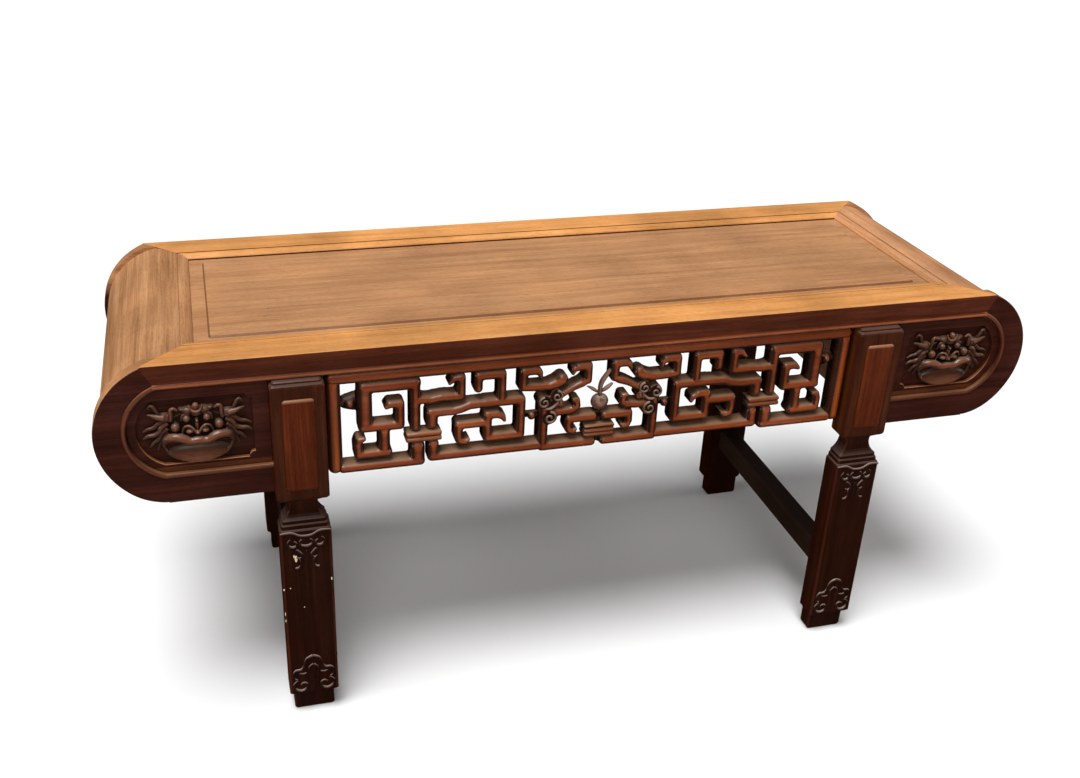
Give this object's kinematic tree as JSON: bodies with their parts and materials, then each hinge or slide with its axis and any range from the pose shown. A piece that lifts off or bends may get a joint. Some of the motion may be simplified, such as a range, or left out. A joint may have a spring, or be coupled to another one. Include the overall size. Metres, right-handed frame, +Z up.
{
  "type": "low table",
  "caption": "Low kang table: framed panel top turning down into boxed scroll ends with lion-mask panels, slab legs with side stretchers and openwork fret aprons front and back.",
  "frame": {"origin": "on the floor, under the middle of the table", "axes": "+X along the table to its right end, +Y to its back, +Z up"},
  "size_m": [1, 0.3478, 0.431],
  "materials": {
    "frame_wood": "satin lacquer",
    "panel_wood": "satin lacquer",
    "face_wood": "satin lacquer",
    "mask_wood": "satin lacquer",
    "leg_wood": "satin lacquer",
    "fret_wood": "satin lacquer",
    "inner_wood": "unpolished"
  },
  "bodies": {
    "root": {"batten_left": "inner_wood", "batten_middle": "inner_wood", "batten_right": "inner_wood", "end_member_left": "frame_wood", "end_member_right": "frame_wood", "fret_centre_back": "fret_wood", "fret_centre_front": "fret_wood", "fret_head_back": "fret_wood", "fret_head_front": "fret_wood", "fret_hook_back_left": "fret_wood", "fret_hook_back_right": "fret_wood", "fret_hook_feet_back": "fret_wood", "fret_hook_feet_front": "fret_wood", "fret_hook_front_left": "fret_wood", "fret_hook_front_right": "fret_wood", "fret_spiral_back_left": "fret_wood", "fret_spiral_back_right": "fret_wood", "fret_spiral_feet_back": "fret_wood", "fret_spiral_feet_front": "fret_wood", "fret_spiral_front_left": "fret_wood", "fret_spiral_front_right": "fret_wood", "fret_stile_back_left": "fret_wood", "fret_stile_back_right": "fret_wood", "fret_stile_front_left": "fret_wood", "fret_stile_front_right": "fret_wood", "fret_ties_back": "fret_wood", "fret_ties_front": "fret_wood", "inner_board_left": "inner_wood", "inner_board_right": "inner_wood", "leg_back_left": "leg_wood", "leg_back_right": "leg_wood", "leg_front_left": "leg_wood", "leg_front_right": "leg_wood", "long_rail_back": "frame_wood", "long_rail_front": "frame_wood", "mask_panel_back_left": "mask_wood", "mask_panel_back_right": "mask_wood", "mask_panel_front_left": "mask_wood", "mask_panel_front_right": "mask_wood", "scroll_face_back_left": "face_wood", "scroll_face_back_right": "face_wood", "scroll_face_front_left": "face_wood", "scroll_face_front_right": "face_wood", "scroll_floor_left": "inner_wood", "scroll_floor_right": "inner_wood", "scroll_sill_back_left": "face_wood", "scroll_sill_back_right": "face_wood", "scroll_sill_front_left": "face_wood", "scroll_sill_front_right": "face_wood", "scroll_stave_1_left": "frame_wood", "scroll_stave_1_right": "frame_wood", "scroll_stave_2_left": "frame_wood", "scroll_stave_2_right": "frame_wood", "scroll_stave_3_left": "frame_wood", "scroll_stave_3_right": "frame_wood", "stretcher_left": "leg_wood", "stretcher_right": "leg_wood", "top_panel": "panel_wood"}
  },
  "joints": []
}
